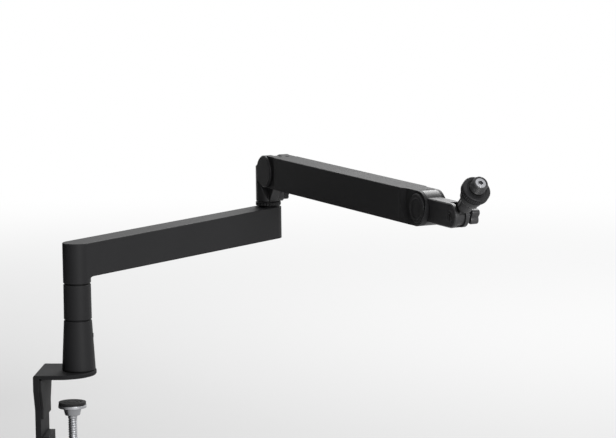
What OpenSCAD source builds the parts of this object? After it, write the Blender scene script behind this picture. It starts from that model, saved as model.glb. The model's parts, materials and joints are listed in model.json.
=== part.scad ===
// Low profile boom arm, clamped to the edge of a board.
// Millimetres. Z is up, the face that the top pad rests on is z = 0, and the clamped edge runs along Y.
// The arm is drawn with both arm beams level and the head leaning forward.

/* [Edge clamp] */
// Thickness of the board that the jaw is set to
desk_gap = 30; // [12:1:58]
// Width of the clamp's top plate
plate_w = 72.5; // [66:0.5:80]
// Thickness of the top plate
plate_t = 3.5; // [3:0.5:5]

/* [Column] */
// Height of the column's two joints above the board's top
socket_top = 58; // [52:1:64]
riser_top = 96.6; // [90:0.2:104]

/* [Arm beams] */
// Width of both beams
beam_w = 29.5; // [28:0.5:32]
// Height of both beams
beam_h = 36.2; // [34:0.2:40]
// Lower beam from column to elbow
lower_len = 336.9; // [260:1:360]
// Upper beam from elbow to wrist joint
upper_len = 390.8; // [320:1:420]
// Direction that the lower beam points in
lower_turn = 58.1; // [0:1:120]
// Direction that the upper beam points in
upper_turn = -60.1; // [-90:1:0]

/* [Head] */
// How far the head's thread leans forward from upright
head_lean = 50; // [0:1:90]
// Radius of the lock ring on the head
ring_r = 14.8; // [14:0.1:17]

/* [Hidden] */
$fn = 72;
fit_gap = 0.05;
press_gap = 0.02;
seam = 0.3;

pad_t = 1;
plate_top = pad_t + plate_t;
plate_r = plate_w / 2;
plate_left = -43.5;
plate_mid = -17.8;
flange_t = 6;
flange_pad_t = 2.5;
flange_pad_inset = 2;
flange_pad_foot = -44;
flange_foot = -86;
flange_half = 27;
flange_taper_top = -12;
flange_taper_foot = -34;
jaw_bolt_y = 14;
jaw_bolt_rise = 15;
bend_r = 2;
edge = 0.6;

socket_r_foot = 17.8;
socket_r_top = 14.9;
spigot_r = 10;
spigot_foot = 17;
riser_foot = socket_top + 1.2;
riser_r_foot = 14.85;
riser_r_top = 14.6;
foot_screw_ring = 12.4;
foot_screw_r = 2.5;
set_screw_r = 2.5;
set_screw_side = 4.4;
socket_screw_z = 41.4;
riser_screw_z = 80.8;

pin_r = 6;
pin_foot = 66;
bush_r = 8;
groove_h = 1.2;

beam_r = beam_w / 2;
lower_top = 140.7;
lower_foot = lower_top - beam_h;
upper_foot = 165.6;
upper_top = upper_foot + beam_h;
mid_z = (upper_top + upper_foot) / 2;
wall_t = 2.4;
roof_t = 3;
cover_t = 2.2;
cover_w = beam_w - 2 * wall_t - 2 * seam;
rail_w = 1.6;
rail_h = 2;
neck_foot = riser_top + groove_h;
magnet_r = 4;
magnet_t = 2;
bridge_t = 2.6;
bridge_half = 6;
outlet = 16;
boss_end = 18;
boss_seat = lower_foot + 9;
washer_top = boss_seat - 0.1;

elbow_x = lower_len * cos(lower_turn);
elbow_y = lower_len * sin(lower_turn);
column_r = 13.95;
column_foot = lower_top + 6.6;
column_top = 190;
pivot_top = 164;
collar_r = 14.4;
tilt_u = 21.8;
barrel_r = beam_h / 2;
tongue_half = 5;
tongue_r = 16.5;
disc_t = 0.4;
cheek_in = tongue_half + disc_t + fit_gap;
cheek_out = 13.2;
cap_t = 3.2;
tilt_bolt_r = 5;
shoe_u = 42;
shoe_drop = 3.7;
shoe_foot = mid_z - shoe_drop;
shoe_h = 9;
shoe_half = cheek_in - fit_gap;
tilt_bush_r = 7;
tube_start = 48;
plug_len = 34;
cover_start = tube_start + plug_len + outlet;
hub_u = 7.5;
hub_z = 154.5;
hub_r = 7.5;
hub_out = 13.4;
lock_screw_r = 3;
lock_knob_r = 6.2;
lock_knob_h = 6.2;
lock_knob_foot = hub_out + 1;

end_len = 38.8;
end_start = upper_len - end_len;
wrist_drop = 0.7;
wrist_z = mid_z - wrist_drop;
wrist_half = 8.5;
wrist_r = 12.5;
slot_half = wrist_half + fit_gap;
axle_r = 4;
disc_r = 15.4;
disc_h = 3.8;
dish_t = 3;
disc_seat = 4.2;
outlet_half = 8.5;
head_u = upper_len + 61.2;
head_half = 3.95;
head_r = 10.5;
head_bolt_r = 3;
fork_half = head_half + fit_gap;
knob_r = 11;
knob_foot = 12;
knob_h = 9;

ring_foot = 43.5;
ring_h = 9;
neck_top = ring_foot - 10;
spindle_foot = neck_top - 8.5;
neck_half = 5.4;
neck_r = 7.4;
seat_r = 11.6;
head_shift = 3;
stud_r = 4.76;
thread_r = 7.94;
collar_foot_r = 7.2;
collar_top = ring_foot + ring_h + 11;

screw_x = -8;
screw_r = 5;
jaw_top = -79;
jaw_t = 9;
plate_disc_r = 15;
clamp_knob_top = -114;
clamp_knob_h = 17;
clamp_knob_r = 19;

module steel() { color([0.62, 0.62, 0.64]) children(); }
module black_metal() { color([0.13, 0.13, 0.14]) children(); }
module black_plastic() { color([0.09, 0.09, 0.1]) children(); }
module dark_rubber() { color([0.05, 0.05, 0.055]) children(); }

// Frames: lower beam, upper beam (u along it, a across it) and the leaning head
module along_lower() { rotate([0, 0, lower_turn]) children(); }
module along_upper() { translate([elbow_x, elbow_y, 0]) rotate([0, 0, upper_turn]) children(); }
module in_head() {
    along_upper() translate([head_u, 0, wrist_z]) rotate([0, head_lean, 0])
        translate([head_shift, 0, 0]) children();
}

// A profile drawn in u and z, pushed across the beam from a0 to a1
module across(a0, a1) {
    translate([0, a1, 0]) rotate([90, 0, 0]) linear_extrude(height = a1 - a0) children();
}
module cross_rod(u, z, a0, a1, r) { across(a0, a1) translate([u, z]) circle(r = r); }
module rod(z0, z1, r) { translate([0, 0, z0]) cylinder(h = z1 - z0, r = r); }
module tapered(z0, z1, r0, r1) { translate([0, 0, z0]) cylinder(h = z1 - z0, r1 = r0, r2 = r1); }

// Bar with round ends and bevelled edges, from x = 0 to x = len, its thickness along z
module round_bar(len, r, z0, z1, bevel_low, bevel_high) {
    half = [
        [0, z0], [r - bevel_low, z0], [r, z0 + bevel_low],
        [r, z1 - bevel_high], [r - bevel_high, z1], [0, z1]
    ];
    for (x = [0, len]) translate([x, 0, 0]) rotate_extrude() polygon(half);
    rotate([90, 0, 90]) linear_extrude(height = len) {
        polygon(half);
        mirror([1, 0]) polygon(half);
    }
}

// Round knob with finger lobes, standing on z = 0
module lobed_knob(r, h, lobes, bore_r) {
    lobe_r = r * 0.3;
    difference() {
        union() {
            cylinder(h = h, r = r - lobe_r);
            for (i = [0 : lobes - 1]) rotate([0, 0, i * 360 / lobes]) translate([r - lobe_r, 0, 0]) {
                cylinder(h = h - 1, r = lobe_r);
                translate([0, 0, h - 1]) cylinder(h = 1, r1 = lobe_r, r2 = lobe_r - 1);
            }
        }
        translate([0, 0, -1]) cylinder(h = h - 1, r = bore_r);
    }
}

// Socket set screw along x, its point at x = 0
module set_screw(len, r) {
    difference() {
        rotate([0, 90, 0]) cylinder(h = len, r = r);
        translate([len - 2, 0, 0]) rotate([0, 90, 0]) cylinder(h = 3, r = r * 0.55, $fn = 6);
    }
}

// Edge clamp
module plate_shape(inset) {
    intersection() {
        translate([plate_mid, 0]) circle(r = plate_r - inset);
        translate([plate_mid, -plate_r]) square([plate_r, plate_w]);
    }
    translate([plate_left + inset, inset - plate_r])
        square([plate_mid - plate_left - inset, 2 * (plate_r - inset)]);
}

module flange_shape() {
    corner_r = 8;
    polygon([
        [-plate_r, plate_top - 0.1], [-plate_r, flange_taper_top], [-flange_half, flange_taper_foot],
        [-flange_half, flange_foot + corner_r],
        [corner_r - flange_half, flange_foot], [flange_half - corner_r, flange_foot],
        [flange_half, flange_foot + corner_r], [flange_half, flange_taper_foot],
        [plate_r, flange_taper_top], [plate_r, plate_top - 0.1]
    ]);
    for (y = [corner_r - flange_half, flange_half - corner_r])
        translate([y, flange_foot + corner_r]) circle(r = corner_r);
}

module foot_screw_places() {
    for (turn = [30, 150, 270]) rotate([0, 0, turn]) translate([foot_screw_ring, 0, 0]) children();
}
module jaw_bolt_places() {
    for (y = [-jaw_bolt_y, jaw_bolt_y])
        translate([plate_left, y, flange_foot + jaw_bolt_rise]) rotate([0, 90, 0]) children();
}

module clamp_frame() {
    black_metal() difference() {
        union() {
            translate([0, 0, pad_t]) linear_extrude(height = plate_t - edge) plate_shape(0);
            intersection() {
                translate([plate_mid, 0, plate_top - edge])
                    cylinder(h = edge, r1 = plate_r, r2 = plate_r - edge);
                translate([plate_mid, -plate_r, 0]) cube([plate_r, plate_w, plate_top]);
            }
            translate([plate_left, 0, plate_top - edge]) rotate([90, 0, 90])
                linear_extrude(height = plate_mid - plate_left) polygon([
                    [-plate_r, 0], [plate_r, 0], [plate_r - edge, edge], [edge - plate_r, edge]
                ]);
            translate([plate_left, 0, 0]) rotate([90, 0, 90])
                linear_extrude(height = flange_t) flange_shape();
        }
        difference() {
            translate([plate_left - 1, -plate_r - 1, plate_top - bend_r])
                cube([1 + bend_r, plate_w + 2, bend_r + 1]);
            translate([plate_left + bend_r, plate_r + 2, plate_top - bend_r]) rotate([90, 0, 0])
                cylinder(h = plate_w + 4, r = bend_r);
        }
        foot_screw_places() {
            rod(0, plate_top + 1, foot_screw_r);
            tapered(pad_t, pad_t + 2.5, 2 * foot_screw_r, foot_screw_r);
        }
        jaw_bolt_places() {
            rod(-1, flange_t + 1, 3);
            tapered(0, 3, 6, 3);
        }
    }
}

module top_pad() {
    dark_rubber() linear_extrude(height = pad_t) difference() {
        plate_shape(0.6);
        foot_screw_places() circle(r = 6);
        translate([plate_left, -plate_r]) square([flange_t + flange_pad_t + seam, plate_w]);
    }
}

module flange_pad() {
    wide = plate_r - flange_pad_inset - 0.25;
    narrow = flange_half - flange_pad_inset;
    taper_foot = flange_taper_foot + flange_pad_inset;
    dark_rubber() translate([plate_left + flange_t, 0, 0]) rotate([90, 0, 90])
        linear_extrude(height = flange_pad_t) polygon([
            [-wide, -pad_t], [-wide, flange_taper_top], [-narrow, taper_foot], [-narrow, flange_pad_foot],
            [narrow, flange_pad_foot], [narrow, taper_foot], [wide, flange_taper_top], [wide, -pad_t]
        ]);
}

module clamp_jaw() {
    leg_x = plate_left + flange_t;
    leg_t = 7;
    leg_half = jaw_bolt_y + 8;
    leg_h = 24;
    arm_end = 16;
    black_metal() difference() {
        union() {
            // Leg behind the flange
            translate([leg_x, -leg_half, jaw_top - jaw_t]) cube([leg_t, 2 * leg_half, leg_h]);
            // Jaw that narrows to a round end about the screw
            translate([0, 0, jaw_top - jaw_t]) linear_extrude(height = jaw_t) {
                translate([screw_x, 0]) circle(r = arm_end);
                polygon([
                    [leg_x, -leg_half], [leg_x + leg_t, -leg_half], [screw_x, -arm_end],
                    [screw_x, arm_end], [leg_x + leg_t, leg_half], [leg_x, leg_half]
                ]);
            }
            translate([screw_x, 0, 0]) rod(jaw_top - jaw_t - 5, jaw_top, 10);
            // Two ribs from the leg to the screw's boss
            for (y = [-14, 11]) across(y, y + 3)
                polygon([
                    [leg_x, jaw_top - jaw_t - 5], [leg_x, jaw_top - 2], [screw_x, jaw_top - 2],
                    [screw_x, jaw_top - jaw_t]
                ]);
        }
        translate([screw_x, 0, 0]) rod(jaw_top - 30, jaw_top + 5, screw_r);
        jaw_bolt_places() rod(flange_t - 1, flange_t + 6, 3);
    }
}

module jaw_bolts() {
    steel() jaw_bolt_places() difference() {
        union() {
            tapered(0, 3, 6 - press_gap, 3 - press_gap);
            rod(3, flange_t + 6, 3 - press_gap);
        }
        translate([0, 0, -1]) cylinder(h = 3, r = 2.3, $fn = 6);
    }
}

module pressure_plate() {
    top = -desk_gap - 3;
    steel() translate([screw_x, 0, 0]) difference() {
        union() {
            rod(top - 3, top, plate_disc_r);
            tapered(top - 11, top - 3, 8, 10);
        }
        rod(top - 12, top - 4, screw_r);
        translate([0, 0, top - 12]) cylinder(h = 1.5, r1 = screw_r + 0.6, r2 = screw_r);
    }
}

module pressure_pad() {
    dark_rubber() translate([screw_x, 0, 0]) difference() {
        rod(-desk_gap - 3, -desk_gap, plate_disc_r - 0.5);
        for (r = [5, 9]) translate([0, 0, -desk_gap - 0.6]) difference() {
            cylinder(h = 1, r = r + 0.6);
            translate([0, 0, -1]) cylinder(h = 3, r = r - 0.6);
        }
    }
}

module clamp_screw() {
    top = -desk_gap - 7 - fit_gap;
    pitch = 2.5;
    r = screw_r - fit_gap;
    steel() translate([screw_x, 0, 0]) difference() {
        rod(clamp_knob_top - clamp_knob_h + 2, top, r);
        // Thread drawn as rings, clear of the knob and of the end in the pressure plate
        for (z = [clamp_knob_top + 2 : pitch : top - 12]) translate([0, 0, z]) rotate_extrude()
            polygon([[r - 0.7, pitch / 2], [r + 1, 0.1], [r + 1, pitch - 0.1]]);
    }
}

module clamp_knob() {
    black_plastic() translate([screw_x, 0, clamp_knob_top]) mirror([0, 0, 1])
        lobed_knob(clamp_knob_r, clamp_knob_h, 7, screw_r);
}

// Column
module base_socket() {
    black_metal() difference() {
        union() {
            rod(plate_top, plate_top + 0.8, socket_r_foot - 0.8);
            tapered(plate_top + 0.8, socket_top - edge, socket_r_foot, socket_r_top);
            tapered(socket_top - edge, socket_top, socket_r_top, socket_r_top - edge);
        }
        rod(spigot_foot - 1, socket_top + 1, spigot_r + fit_gap);
        foot_screw_places() rod(plate_top - 1, spigot_foot - 4, foot_screw_r);
        rotate([0, 0, set_screw_side]) translate([spigot_r, 0, socket_screw_z]) rotate([0, 90, 0])
            cylinder(h = 10, r = set_screw_r);
    }
}

module socket_screws() {
    steel() foot_screw_places() difference() {
        union() {
            tapered(pad_t, pad_t + 2.5, 2 * foot_screw_r - press_gap, foot_screw_r - press_gap);
            rod(pad_t + 2.5, spigot_foot - 4, foot_screw_r - press_gap);
        }
        cylinder(h = pad_t + 2, r = 1.6, $fn = 6);
    }
}

module socket_set_screw() {
    steel() rotate([0, 0, set_screw_side]) translate([spigot_r + fit_gap, 0, socket_screw_z])
        set_screw(6.1, set_screw_r - press_gap);
}

module riser() {
    black_metal() difference() {
        union() {
            rod(spigot_foot, socket_top + 0.5, spigot_r);
            rod(socket_top, riser_foot + 0.5, socket_r_top - 1.6);
            tapered(riser_foot, riser_foot + edge, riser_r_foot - edge, riser_r_foot);
            tapered(riser_foot + edge, riser_top - edge, riser_r_foot, riser_r_top);
            tapered(riser_top - edge, riser_top, riser_r_top, riser_r_top - edge);
        }
        rod(pin_foot - 3, riser_top + 1, bush_r);
        rotate([0, 0, set_screw_side]) translate([pin_r, 0, riser_screw_z]) rotate([0, 90, 0])
            cylinder(h = 12, r = set_screw_r);
    }
}

module riser_set_screw() {
    tip = pin_r - 0.8;
    steel() rotate([0, 0, set_screw_side]) translate([tip, 0, riser_screw_z])
        set_screw(riser_r_top - tip, set_screw_r - press_gap);
}

module riser_bush() {
    black_plastic() difference() {
        rod(pin_foot - 3, riser_top, bush_r);
        rod(pin_foot - 4, riser_top + 1, pin_r + fit_gap);
        rotate([0, 0, set_screw_side]) translate([pin_r - 2, 0, riser_screw_z]) rotate([0, 90, 0])
            cylinder(h = 6, r = set_screw_r + 0.1);
    }
}

module thrust_washer() {
    black_plastic() difference() {
        rod(riser_top, neck_foot - fit_gap, 12.6);
        rod(riser_top - 1, neck_foot + 1, pin_r + 0.1);
    }
}

// Lower beam
module beam_section() {
    polygon([
        [-beam_r, 0], [-beam_r, beam_h - edge], [edge - beam_r, beam_h], [beam_r - edge, beam_h],
        [beam_r, beam_h - edge], [beam_r, 0]
    ]);
}

module channel_section() {
    half = beam_r - wall_t;
    difference() {
        translate([-half, -1]) square([2 * half, beam_h - roof_t + 1]);
        for (a = [-half, half - rail_w]) translate([a, cover_t]) square([rail_w, rail_h]);
    }
}

// Bridges across the channel, each seated on its rails and holding two of the cover's magnets
module magnet_bridges(foot, places) {
    half = beam_r - wall_t - fit_gap;
    for (u = places) difference() {
        translate([u - bridge_half, 0, foot]) {
            translate([0, -half, cover_t + rail_h]) cube([2 * bridge_half, 2 * half, bridge_t]);
            translate([0, rail_w - half, cover_t + fit_gap])
                cube([2 * bridge_half, 2 * (half - rail_w), rail_h]);
        }
        magnet_places(foot, [u]) cylinder(h = magnet_t, r = magnet_r);
    }
}
module magnet_places(foot, places) {
    for (u = places, a = [-6, 6]) translate([u, a, foot + cover_t + fit_gap]) children();
}
module magnets(foot, places) {
    magnet_places(foot, places) cylinder(h = magnet_t, r = magnet_r - press_gap);
}

lower_magnet_places = [46, lower_len / 2, lower_len - 46];
module lower_arm_shell() {
    fillet_r = 3;
    black_metal() along_lower() difference() {
        union() {
            round_bar(lower_len, beam_r, lower_foot, lower_top, 0.2, edge);
            tapered(neck_foot, neck_foot + edge, beam_r - edge, beam_r);
            rod(neck_foot + edge, lower_foot + 1, beam_r);
            // Hollow fillet under the beam, where the neck meets it
            intersection() {
                translate([0, 0, lower_foot - fillet_r]) rotate_extrude() difference() {
                    translate([beam_r - 1, 0]) square([fillet_r + 1, fillet_r + 0.5]);
                    translate([beam_r + fillet_r, 0]) circle(r = fillet_r);
                }
                translate([0, -beam_r, lower_foot - fillet_r]) cube([30, beam_w, fillet_r + 0.5]);
            }
        }
        translate([boss_end, 0, lower_foot]) rotate([90, 0, 90])
            linear_extrude(height = lower_len - 2 * boss_end) channel_section();
        rod(neck_foot - 1, lower_top - 6, pin_r);
        translate([lower_len, 0, 0]) {
            rod(boss_seat - 1, lower_top + 1, bush_r);
            rod(lower_foot - 1, boss_seat, 10.5);
        }
    }
}

module lower_magnet_bridges() {
    black_plastic() along_lower() magnet_bridges(lower_foot, lower_magnet_places);
}
module lower_magnets() { steel() along_lower() magnets(lower_foot, lower_magnet_places); }

module swivel_pin() {
    steel() along_lower() difference() {
        rod(pin_foot, lower_top - 6, pin_r - press_gap);
        // Groove that the riser's screw runs in
        difference() {
            rod(riser_screw_z - set_screw_r - 0.3, riser_screw_z + set_screw_r + 0.3, pin_r + 1);
            rod(riser_screw_z - 5, riser_screw_z + 5, pin_r - 1.2);
        }
        translate([0, 0, pin_foot - 0.01]) difference() {
            cylinder(h = 1, r = pin_r + 1);
            cylinder(h = 1, r1 = pin_r - 1, r2 = pin_r);
        }
    }
}

// Strip held under a beam, with stiffening lips between its magnets and a finger notch at one end
module beam_cover(start, len, foot, places) {
    lip_h = 5;
    lip_t = 1.2;
    lip_a = cover_w / 2 - rail_w - 1.8;
    clear = bridge_half + 4;
    difference() {
        union() {
            translate([start, -cover_w / 2, foot + 0.1]) cube([len, cover_w, cover_t - 0.1]);
            for (side = [-1, 1], i = [1 : len(places) - 1])
                translate([places[i - 1] + clear, side * lip_a - lip_t / 2, foot + cover_t - 0.5])
                    cube([places[i] - places[i - 1] - 2 * clear, lip_t, lip_h]);
        }
        translate([start, 0, foot - 1]) cylinder(h = 6, r = 7);
    }
}

module lower_arm_cover() {
    start = boss_end + outlet;
    black_metal() along_lower() beam_cover(start, lower_len - 2 * start, lower_foot, lower_magnet_places);
}

module elbow_bush() {
    black_plastic() along_lower() translate([lower_len, 0, 0]) difference() {
        union() {
            rod(boss_seat, lower_top, bush_r);
            rod(lower_top, lower_top + 0.9, 12);
        }
        rod(lower_foot, lower_top + 2, pin_r + fit_gap);
    }
}

// Elbow
module elbow_pivot() {
    steel() along_upper() {
        rod(lower_foot + 1.5, washer_top, 4 - press_gap);
        rod(washer_top, pivot_top, pin_r - press_gap);
    }
}

module elbow_nut() {
    steel() along_upper() difference() {
        union() {
            translate([0, 0, washer_top - 6]) cylinder(h = 4.5, r = 7.5, $fn = 6);
            rod(washer_top - 1.5, washer_top, 9.6);
        }
        rod(washer_top - 7, washer_top + 1, 4);
    }
}

module elbow_collar() {
    black_plastic() along_upper() difference() {
        union() {
            tapered(lower_top + 1.5, lower_top + 2.1, collar_r - edge, collar_r);
            rod(lower_top + 2.1, lower_top + 5.2, collar_r);
            tapered(lower_top + 5.2, lower_top + 5.8, collar_r, collar_r - edge);
        }
        rod(lower_top, lower_top + 7, 11.9 + press_gap);
    }
}

module elbow_yoke() {
    slope_foot = 13.3;
    slope_top = -2.3;
    black_metal() along_upper() difference() {
        union() {
            intersection() {
                union() {
                    rod(lower_top + 1, column_foot + 0.5, 11.9);
                    tapered(column_foot, column_foot + edge, column_r - edge, column_r);
                    rod(column_foot + edge, column_top - 3, column_r);
                    tapered(column_top - 3, column_top, column_r, column_r - 3);
                }
                // The column is cut to a slope in front, which clears the beam's cheeks
                across(-20, 20) polygon([
                    [-20, lower_top], [20, lower_top], [20, column_foot + 0.4],
                    [slope_foot, column_foot + 0.4],
                    [slope_top, column_top], [-20, column_top]
                ]);
            }
            // Boss for the swivel lock screw
            cross_rod(hub_u, hub_z, -3, hub_out, hub_r);
            // Tongue that carries the beam
            across(-tongue_half, tongue_half) {
                polygon([
                    [-4, column_top - 3], [-4, column_foot + 1.7], [14, column_foot + 0.9],
                    [tilt_u + tongue_r * cos(-65), mid_z + tongue_r * sin(-65)], [tilt_u, mid_z],
                    [tilt_u + tongue_r * cos(125), mid_z + tongue_r * sin(125)]
                ]);
                translate([tilt_u, mid_z]) circle(r = tongue_r);
            }
        }
        rod(lower_top, pivot_top, pin_r);
        cross_rod(tilt_u, mid_z, -10, 10, tilt_bush_r);
        cross_rod(hub_u, hub_z, pin_r, 20, lock_screw_r);
    }
}

module tilt_bush() {
    black_plastic() along_upper() difference() {
        cross_rod(tilt_u, mid_z, -tongue_half, tongue_half, tilt_bush_r);
        cross_rod(tilt_u, mid_z, -10, 10, tilt_bolt_r + fit_gap);
    }
}

module friction_discs() {
    steel() along_upper() difference() {
        for (a = [-tongue_half - disc_t, tongue_half]) cross_rod(tilt_u, mid_z, a, a + disc_t, 14);
        cross_rod(tilt_u, mid_z, -10, 10, tilt_bolt_r + 0.2);
    }
}

module swivel_screw() {
    steel() along_upper()
        cross_rod(hub_u, hub_z, pin_r + 0.1, lock_knob_foot + lock_knob_h - 2, lock_screw_r - fit_gap);
}

module swivel_knob() {
    black_plastic() along_upper() translate([hub_u, lock_knob_foot, hub_z]) rotate([-90, 0, 0])
        lobed_knob(lock_knob_r, lock_knob_h, 5, lock_screw_r - fit_gap);
}

// Upper beam
module upper_arm_root() {
    black_metal() along_upper() difference() {
        union() {
            cross_rod(tilt_u, mid_z, -cheek_out, cheek_out, barrel_r);
            across(-cheek_out, cheek_out)
                translate([tilt_u, upper_foot]) square([tube_start - tilt_u, beam_h]);
            // Plug inside the tube
            across(fit_gap + wall_t - beam_r, beam_r - wall_t - fit_gap)
                translate([tube_start - 1, upper_foot + 5]) square([plug_len + 1, beam_h - 5 - roof_t]);
        }
        // Slot for the elbow's tongue, with room for it to swing
        across(-cheek_in, cheek_in) {
            translate([tilt_u, mid_z]) circle(r = tongue_r + 0.8);
            translate([-1, upper_foot - 1]) square([tilt_u + 1, beam_h + 2]);
            translate([tilt_u, upper_foot - 1]) square([20.5, shoe_foot - upper_foot + 1 - fit_gap]);
            translate([tilt_u - 1, upper_top - 9]) square([9, 10]);
        }
        cross_rod(tilt_u, mid_z, -20, 20, tilt_bolt_r);
        cross_rod(tilt_u, mid_z, -20, -9, 8.6);
        cross_rod(tilt_u, mid_z, 9, 20, 9.4);
        // Brake shoe pocket and the two screw holes above it
        translate([shoe_u - 6, -shoe_half - fit_gap, shoe_foot - fit_gap])
            cube([10.1, 2 * (shoe_half + fit_gap), shoe_h + 2 * fit_gap]);
        tension_places() rod(shoe_foot + 4, upper_top + 1, set_screw_r);
        // Way through under the plug
        across(-9, 9) translate([tube_start + 10, upper_foot]) square([plug_len, 14]);
    }
}

module tilt_bolt() {
    steel() along_upper() difference() {
        union() {
            cross_rod(tilt_u, mid_z, -13, -9, 8.5);
            cross_rod(tilt_u, mid_z, -9, 13, tilt_bolt_r - press_gap);
        }
        across(-14, -10) translate([tilt_u, mid_z]) circle(r = 4, $fn = 6);
    }
}

module tilt_nut() {
    steel() along_upper() difference() {
        across(9, 13) translate([tilt_u, mid_z]) circle(r = 9, $fn = 6);
        cross_rod(tilt_u, mid_z, 8, 14, tilt_bolt_r);
    }
}

// Plain discs over the ends of the tilt bolt, one on each side
module tilt_caps() {
    bevel = 1.5;
    black_plastic() along_upper() for (side = [-1, 1])
        translate([tilt_u, side * cheek_out, mid_z]) rotate([side * -90, 0, 0]) {
            cylinder(h = cap_t - bevel, r = barrel_r);
            translate([0, 0, cap_t - bevel]) cylinder(h = bevel, r1 = barrel_r, r2 = barrel_r - bevel);
        }
}

module tension_places() { for (a = [-4.4, 4.4]) translate([shoe_u, a, 0]) children(); }
module tension_screws() {
    foot = shoe_foot + shoe_h + fit_gap;
    steel() along_upper() tension_places() translate([0, 0, foot]) rotate([0, -90, 0])
        set_screw(upper_top - 2.5 - foot, set_screw_r - press_gap);
}

module brake_shoe() {
    black_plastic() along_upper() difference() {
        translate([shoe_u - 6, -shoe_half, shoe_foot]) cube([10, 2 * shoe_half, shoe_h]);
        cross_rod(tilt_u, mid_z, -10, 10, tongue_r + fit_gap);
    }
}

upper_cover_len = end_start - 2 - cover_start;
upper_magnet_places = [
    cover_start + 14, cover_start + upper_cover_len / 2, cover_start + upper_cover_len - 30
];
module upper_arm_tube() {
    black_metal() along_upper() translate([tube_start, 0, upper_foot]) rotate([90, 0, 90])
        linear_extrude(height = end_start - tube_start) difference() {
            beam_section();
            channel_section();
        }
}

module upper_magnet_bridges() {
    black_plastic() along_upper() magnet_bridges(upper_foot, upper_magnet_places);
}

module upper_magnets() { steel() along_upper() magnets(upper_foot, upper_magnet_places); }
module upper_arm_cover() {
    black_metal() along_upper() beam_cover(cover_start, upper_cover_len, upper_foot, upper_magnet_places);
}

module upper_arm_end() {
    dish_u = upper_len - 5.7;
    dish_z = mid_z + 9.2;
    dish_r = 28;
    dish_slope = 6.5;
    plug = 22;
    black_metal() along_upper() difference() {
        union() {
            translate([end_start, 0, upper_foot]) rotate([90, 0, 90])
                linear_extrude(height = upper_len - end_start) beam_section();
            cross_rod(upper_len, mid_z, -beam_r, beam_r, barrel_r);
            across(fit_gap + wall_t - beam_r, beam_r - wall_t - fit_gap)
                translate([end_start - plug, upper_foot + 5]) square([plug + 1, beam_h - 5 - roof_t]);
        }
        // Slot for the wrist's knuckle
        across(-slot_half, slot_half) {
            translate([upper_len, mid_z]) circle(r = barrel_r + 0.4);
            translate([upper_len, upper_foot - 1]) square([barrel_r + 1, beam_h + 2]);
        }
        // Way out, up through the underside and back into the tube
        across(-outlet_half, outlet_half) {
            translate([end_start - plug - 1, upper_foot - 1]) square([outlet + plug + 1, 20]);
        }
        // Each side is cut back to a shallow dish, and a disc is let into it
        for (side = [-1, 1]) {
            translate([dish_u, side * (beam_r + 0.01), dish_z]) rotate([side * 90, 0, 0])
                cylinder(h = dish_t, r1 = dish_r, r2 = dish_r - dish_slope);
            translate([upper_len, side * beam_r, mid_z]) rotate([side * 90, 0, 0])
                cylinder(h = disc_seat, r = disc_r + 0.1);
        }
        cross_rod(upper_len, mid_z, -20, 20, axle_r);
    }
}

module end_discs() {
    rim = 0.9;
    black_plastic() along_upper() for (side = [-1, 1])
        translate([upper_len, side * (beam_r - disc_seat), mid_z]) rotate([side * -90, 0, 0]) {
            cylinder(h = disc_h - rim, r = disc_r);
            translate([0, 0, disc_h - rim]) cylinder(h = rim, r1 = disc_r, r2 = disc_r - rim);
        }
}

module wrist_axle() {
    half = beam_r - disc_seat - fit_gap;
    steel() along_upper() cross_rod(upper_len, mid_z, -half, half, axle_r - fit_gap);
}

// Wrist and head
module wrist_link() {
    black_metal() along_upper() difference() {
        union() {
            translate([upper_len, wrist_half, wrist_z]) rotate([90, 0, 0])
                round_bar(head_u - upper_len, wrist_r, 0, 2 * wrist_half, 1, 1);
            cross_rod(upper_len, mid_z, -wrist_half, wrist_half, barrel_r);
        }
        cross_rod(upper_len, mid_z, -10, 10, axle_r + 1.5);
        cross_rod(head_u, wrist_z, -10, 10, head_bolt_r);
        cross_rod(head_u, wrist_z, -10, -6, 5.6);
        // Fork for the head's tongue
        across(-fork_half, fork_half) {
            translate([head_u, wrist_z]) circle(r = head_r + 0.8);
            translate([head_u - 7.4, wrist_z]) square([30, 20]);
            translate([head_u, wrist_z - 20]) square([30, 40]);
        }
    }
}

module wrist_bush() {
    black_plastic() along_upper() difference() {
        cross_rod(upper_len, mid_z, -wrist_half, wrist_half, axle_r + 1.5);
        cross_rod(upper_len, mid_z, -10, 10, axle_r);
    }
}

module head_bolt() {
    steel() along_upper() difference() {
        union() {
            cross_rod(head_u, wrist_z, -8.2, -6, 5.5);
            cross_rod(head_u, wrist_z, -6, knob_foot + 5, head_bolt_r - fit_gap);
        }
        across(-9, -7) translate([head_u, wrist_z]) circle(r = 2.4, $fn = 6);
    }
}

module head_washer() {
    steel() along_upper() difference() {
        cross_rod(head_u, wrist_z, wrist_half, knob_foot - fit_gap, 6.4);
        cross_rod(head_u, wrist_z, 0, 20, head_bolt_r - fit_gap);
    }
}

module head_knob() {
    black_plastic() along_upper() translate([head_u, knob_foot, wrist_z]) rotate([-90, 0, 0])
        lobed_knob(knob_r, knob_h, 5, head_bolt_r);
}

module head_bracket() {
    black_metal() {
        difference() {
            union() {
                along_upper() cross_rod(head_u, wrist_z, -head_half, head_half, head_r);
                in_head() {
                    across(-head_half, head_half) translate([-head_shift - neck_half, 0])
                        square([2 * neck_half, neck_top - 9.5]);
                    // Neck that swells to a round seat under the ring
                    tapered(neck_top - 18.5, neck_top - 13.5, 4.5, neck_r);
                    rod(neck_top - 13.5, neck_top - 3.5, neck_r);
                    tapered(neck_top - 3.5, neck_top + 2.5, neck_r, seat_r);
                    rod(neck_top + 2.5, ring_foot - seam, seat_r);
                }
            }
            along_upper() cross_rod(head_u, wrist_z, -10, 10, head_bolt_r);
            in_head() rod(spindle_foot, ring_foot + 3, stud_r);
        }
    }
}

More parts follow.
